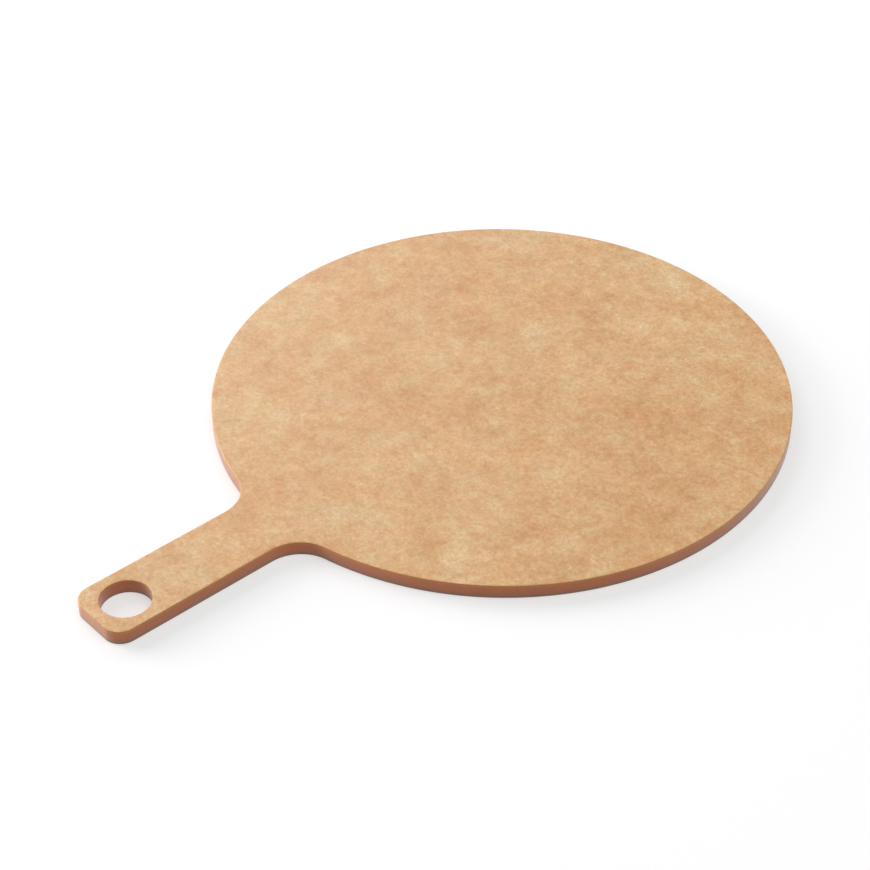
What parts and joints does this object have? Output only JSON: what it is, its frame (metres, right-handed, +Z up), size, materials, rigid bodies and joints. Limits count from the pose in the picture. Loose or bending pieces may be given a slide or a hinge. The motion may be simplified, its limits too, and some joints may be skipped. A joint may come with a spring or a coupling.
{
  "type": "pizza serving board",
  "caption": "Round flat serving board with a short straight handle, rounded at its corners and pierced by a hanging hole, pressed from fibre sheets with eased edges.",
  "frame": {"origin": "centre of the round area, on the underside that rests on the table", "axes": "+Z up out of the serving face; the handle runs along -Y; +X across the handle"},
  "size_m": [0.3, 0.406, 0.0078],
  "materials": {
    "face_sheet": "satin-matt mottled wood fibre and resin",
    "core": "routed and polished brown fibre core"
  },
  "bodies": {
    "root": {"bottom_face_sheet": "face_sheet", "core": "core", "top_face_sheet": "face_sheet"}
  },
  "joints": []
}
